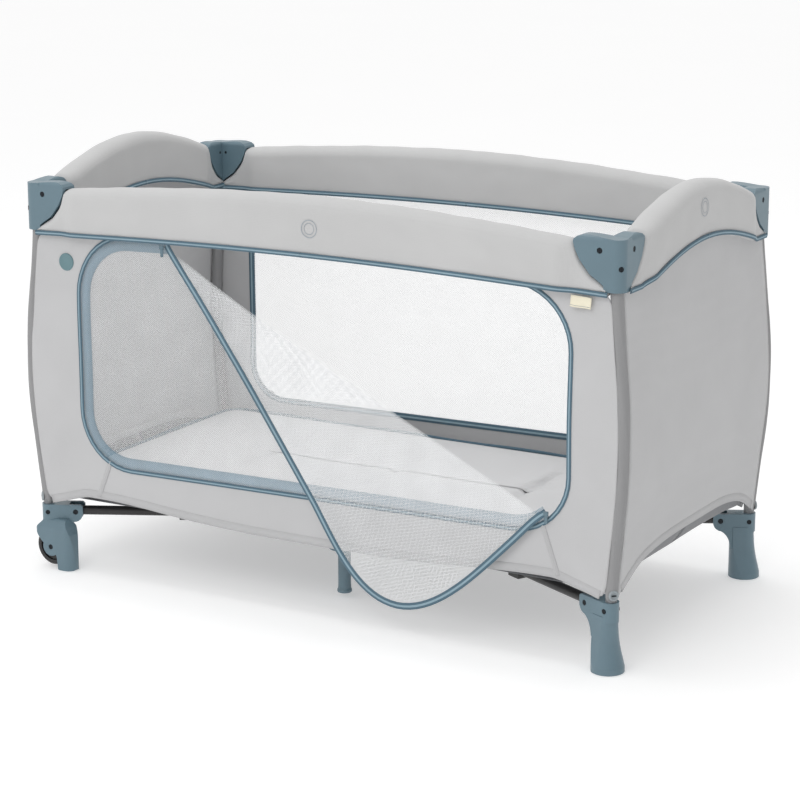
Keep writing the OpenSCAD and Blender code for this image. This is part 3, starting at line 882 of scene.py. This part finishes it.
def build_floor():
    """Four quarters of floor fabric, turned up at the ends to the hems of the end walls."""
    for k, (sx, sy) in CORNERS.items():
        x = np.concatenate([np.linspace(0.0005, 0.568, 24), np.linspace(0.574, 0.607, 8)])
        y = np.linspace(0.0005, 0.284, 14)
        gx, gy = np.meshgrid(x, y, indexing="ij")
        sag = 0.0008 * np.sin(gx * 14) * np.sin(gy * 19)
        turned_up = np.clip((gx - 0.568) / 0.039, 0, 1) ** 1.3 * (end_hem(gy) + 0.006 - FLOOR_Z)
        pts = np.stack([sx * gx, sy * gy, FLOOR_Z - 0.0020 + sag + turned_up], -1)
        sheet = grid("floor_cloth_" + k, pts, MAT["floor_fabric"],
                     keep=lambda c: abs(c[0]) / 0.574 + abs(c[1]) / 0.284 < 1.93)
        thicken(sheet, 0.0012)
        finish_piece(sheet, "arm_" + k, "floor_fabric", "floor_" + k)
        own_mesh(sheet)


# ---------------------------------------------------------------- small trim
def surface_of(section, place, u, z):
    """The outer face of a cover at u along it and height z, as a point in 3-D."""
    top, bottom, half = section(abs(u))
    ring = pad_ring(top, bottom, half, 160)
    front = ring[ring[:, 0] > 0]
    front = front[np.argsort(front[:, 1])]
    return place(u, float(np.interp(z, front[:, 1], front[:, 0])), z)


def build_prints():
    """A plain printed ring on the front cover and one on the right end cover."""
    spots = (("front_ring", long_section, 0.020, 0.722, "rail_front_r",
              lambda u, o, z: (u, -(POST_Y + o + 0.0011), z)),
             ("end_ring", end_section, -0.019, 0.765, "rail_right_f",
              lambda u, o, z: (POST_X + o + 0.0011, u, z)))
    for name, section, u0, z0, rail, place in spots:
        for k, radius, width in (("outer", 0.0155, 0.0011), ("inner", 0.0100, 0.0008)):
            rows = []
            for r in (radius - width / 2, radius + width / 2):
                turns = np.linspace(0, 2 * math.pi, 65)[:-1]
                rows.append([surface_of(section, place, u0 + r * math.cos(t), z0 + r * math.sin(t))
                             for t in turns])
            o = grid(name + "_" + k, np.array(rows), MAT["print"], close_v=True)
            finish_piece(o, rail, "cover_fabric")
            squash_cover(o)


def build_label():
    """Small blank sewn-in tag below the front cover's seam."""
    x = np.linspace(0.524, 0.562, 14)
    z = np.linspace(0, 1, 8)
    gx, gz = np.meshgrid(x, z, indexing="ij")
    height = 0.655 - 0.0195 * gz
    lift = 0.0075 + 0.0040 * gz + 0.0016 * np.sin((gx - 0.524) * 160) * gz
    pts = np.stack([gx, -(WALL_Y + lift), height - 0.05 * (gx - 0.524) * 1.2], -1)
    o = grid("sewn_label", pts, MAT["label"])
    thicken(o, 0.0006)
    finish_piece(o, "post_fr", "fabric")
    squash_long(o)
    for k, at in (("a", 0.12), ("b", 0.86)):
        row = pts[:, int(at * 7)]
        stitch = sweep("label_stitch_" + k, row + np.array((0, -0.0006, 0)), (0, -1, 0),
                       round_section(0.0003, 6), MAT["print"])
        finish_piece(stitch, "post_fr", "fabric")
        squash_long(stitch)


def build_seam_strips():
    """Short raised seams from the window's lower corners to the hem, front and rear."""
    for name, side, body, ends in (
            ("front_strip_l", -1, "post_fr", ((-0.440, 0.234), (-0.470, 0.160))),
            ("front_strip_r", -1, "post_fr", ((0.474, 0.246), (0.503, 0.160))),
            ("rear_strip_l", 1, "post_rr", ((-0.486, 0.228), (-0.500, 0.160))),
            ("rear_strip_r", 1, "post_rr", ((0.486, 0.240), (0.503, 0.160)))):
        line = np.array([np.array(ends[0]) * (1 - t) + np.array(ends[1]) * t for t in np.linspace(0, 1, 14)])
        # the seam strips take the hem fabric, whose darker tone is painted shade
        tape = sweep(name, on_long_wall(line, side, 0.0008), (0, side, 0), tape_section(0.0090, 0.0020),
                     MAT["hem"])
        finish_piece(tape, body, "fabric")
        squash_long(tape)


def turned(name, centre, out, profile, material):
    """A round part on an upright face: profile of (radius, distance outwards) turned about out."""
    out = np.asarray(out, float)
    side = np.array((-out[1], out[0], 0))
    up = np.array((0, 0, 1))
    turns = np.linspace(0, 2 * math.pi, 49)[:-1]
    rows = [[centre + side * r * math.cos(t) + up * r * math.sin(t) + out * h for t in turns]
            for r, h in profile]
    return grid(name, np.array(rows), material, close_v=True)


def build_snaps():
    """Plastic snap tab at the foot of each post sleeve, on its outer side."""
    for k, (sx, sy) in CORNERS.items():
        heading = math.atan2(sy * 0.7, sx * 0.75)
        out = np.array((math.cos(heading), math.sin(heading), 0))
        side = np.array((-out[1], out[0], 0))
        centre = np.array((sx * POST_X, sy * POST_Y, 0.140)) + out * (SLEEVE_R - 0.0012)
        profile = [(0.0088, 0.0), (0.0092, 0.0022), (0.0084, 0.0034), (0.0060, 0.0038), (0.0056, 0.0026),
                   (0.0001, 0.0026)]
        o = turned("snap_" + k, centre, out, profile, MAT["snap"])
        finish_piece(o, "post_" + k, "plastic")
        # a dark strip in the snap's dish, in the dark screw material: painted shade standing in for the
        # slot's recess
        slot = sweep("snap_slot_shade_" + k, [centre + side * s + out * 0.0030 for s in (-0.0040, 0, 0.0040)], out,
                     [(-0.0012, 0), (-0.0012, 0.0006), (0.0012, 0.0006), (0.0012, 0)], MAT["screw_steel"])
        finish_piece(slot, "post_" + k, "screw_steel")


def build_badge():
    """Plain round badge sewn to the front wall."""
    low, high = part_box("badge")
    centre = np.array(((low.x + high.x) / 2, 0, (low.z + high.z) / 2))
    centre[1] = -wall_y(centre[0], centre[2])
    r = (high.x - low.x) / 2
    profile = [(r, 0.0004), (r, 0.0020), (r - 0.0010, 0.0029), (r - 0.0028, 0.0029), (r - 0.0034, 0.0023),
               (0.0001, 0.0024)]
    o = turned("front_badge", centre, (0, -1, 0), profile, MAT["badge_rubber"])
    finish_piece(o, "post_fr", "badge_rubber", "badge")
    squash_long(o)


def build_zip_pulls():
    """Slider and pull tab at each end of the open zip."""
    low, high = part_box("zip_pulls")
    y = -(WALL_Y + 0.0095)
    parts = (("tab", 0.003, 0.0016, 0, 0.018), ("slider", 0.0045, 0.0030, 0.014, 0.022))
    for k, x, z in (("upper", low.x + 0.0045, high.z - 0.022), ("lower", high.x - 0.0045, low.z)):
        for part, half, depth, bottom, top in parts:
            path = [(x, y, z + h) for h in np.linspace(bottom, top, 4)]
            section = [(-half, 0), (-half, depth * 0.7), (-half * 0.7, depth), (half * 0.7, depth),
                       (half, depth * 0.7), (half, 0)]
            o = sweep("zip_%s_%s" % (part, k), path, (0, -1, 0), section, MAT["plastic"])
            finish_piece(o, "post_fr", "plastic", "zip_pulls")
            squash_long(o)


# ---------------------------------------------------------------- floor, light and camera
def build_stage():
    bpy.ops.mesh.primitive_plane_add(size=60, location=(0, 0, -0.0008))
    floor = bpy.context.object
    floor.name = "studio_floor"
    p = Paint("studio_floor", (0.74, 0.74, 0.74, 1), 0.9, Specular_IOR_Level=0.05,
              Emission_Color=(1, 1, 1, 1), Emission_Strength=0.36)
    p.tint(p.noise(1.5, 2), 0.004)
    floor.data.materials.append(p.m)
    world = bpy.data.worlds.new("studio")
    bpy.context.scene.world = world
    world.use_nodes = True
    tree = world.node_tree
    # softer light from the right, fuller from the left
    coords = tree.nodes.new("ShaderNodeTexCoord")
    mapping = tree.nodes.new("ShaderNodeMapping")
    mapping.inputs["Location"].default_value = (0.5, 0, 0)
    mapping.inputs["Scale"].default_value = (0.5, 0.5, 0.5)
    gradient = tree.nodes.new("ShaderNodeTexGradient")
    ramp = tree.nodes.new("ShaderNodeValToRGB")
    ramp.color_ramp.elements[0].color = (1.0, 1.0, 1.0, 1)
    ramp.color_ramp.elements[1].color = (0.50, 0.50, 0.50, 1)
    tree.links.new(coords.outputs["Generated"], mapping.inputs["Vector"])
    tree.links.new(mapping.outputs["Vector"], gradient.inputs["Vector"])
    tree.links.new(gradient.outputs["Fac"], ramp.inputs["Fac"])
    back = tree.nodes["Background"]
    tree.links.new(ramp.outputs["Color"], back.inputs["Color"])
    back.inputs["Strength"].default_value = 1.08


def area_light(name, place, target, size, power):
    lamp = bpy.data.lights.new(name, "AREA")
    lamp.shape = "RECTANGLE"
    lamp.size, lamp.size_y = size
    lamp.energy = power
    o = bpy.data.objects.new(name, lamp)
    bpy.context.scene.collection.objects.link(o)
    o.location = place
    o.rotation_mode = "QUATERNION"
    o.rotation_quaternion = (Vector(target) - Vector(place)).to_track_quat("-Z", "Y")


def build_lights():
    area_light("front", (0.3, -3.6, 3.3), (0, 0, 0.4), (2.4, 1.6), 34)
    area_light("top", (-0.4, 0.2, 3.6), (0, 0, 0.3), (2.6, 1.6), 24)


def build_camera():
    """Long lens, a little above the rails, from the front right."""
    data = bpy.data.cameras.new("camera")
    data.lens, data.sensor_width = 111.96, 36.0
    data.clip_start, data.clip_end = 0.05, 100
    o = bpy.data.objects.new("camera", data)
    bpy.context.scene.collection.objects.link(o)
    o.location = (2.308, -3.963, 1.490)
    o.rotation_mode = "XYZ"
    o.rotation_euler = (math.pi / 2 - 0.246, 0.0017, 0.5253)
    bpy.context.scene.camera = o


def set_view():
    view = bpy.context.scene.view_settings
    view.view_transform = "Standard"
    view.look = "None"


dress_cad_nodes()
build_front_wall()
build_rear_wall()
build_end_wall("left_wall", -1, "post_fl", "panel_left")
build_end_wall("right_wall", 1, "post_rr", "panel_right")
build_hems()
build_door()
build_covers()
build_posts()
build_mattress()
build_floor()
build_prints()
build_label()
build_seam_strips()
build_snaps()
build_badge()
build_zip_pulls()
build_stage()
build_lights()
build_camera()
set_view()
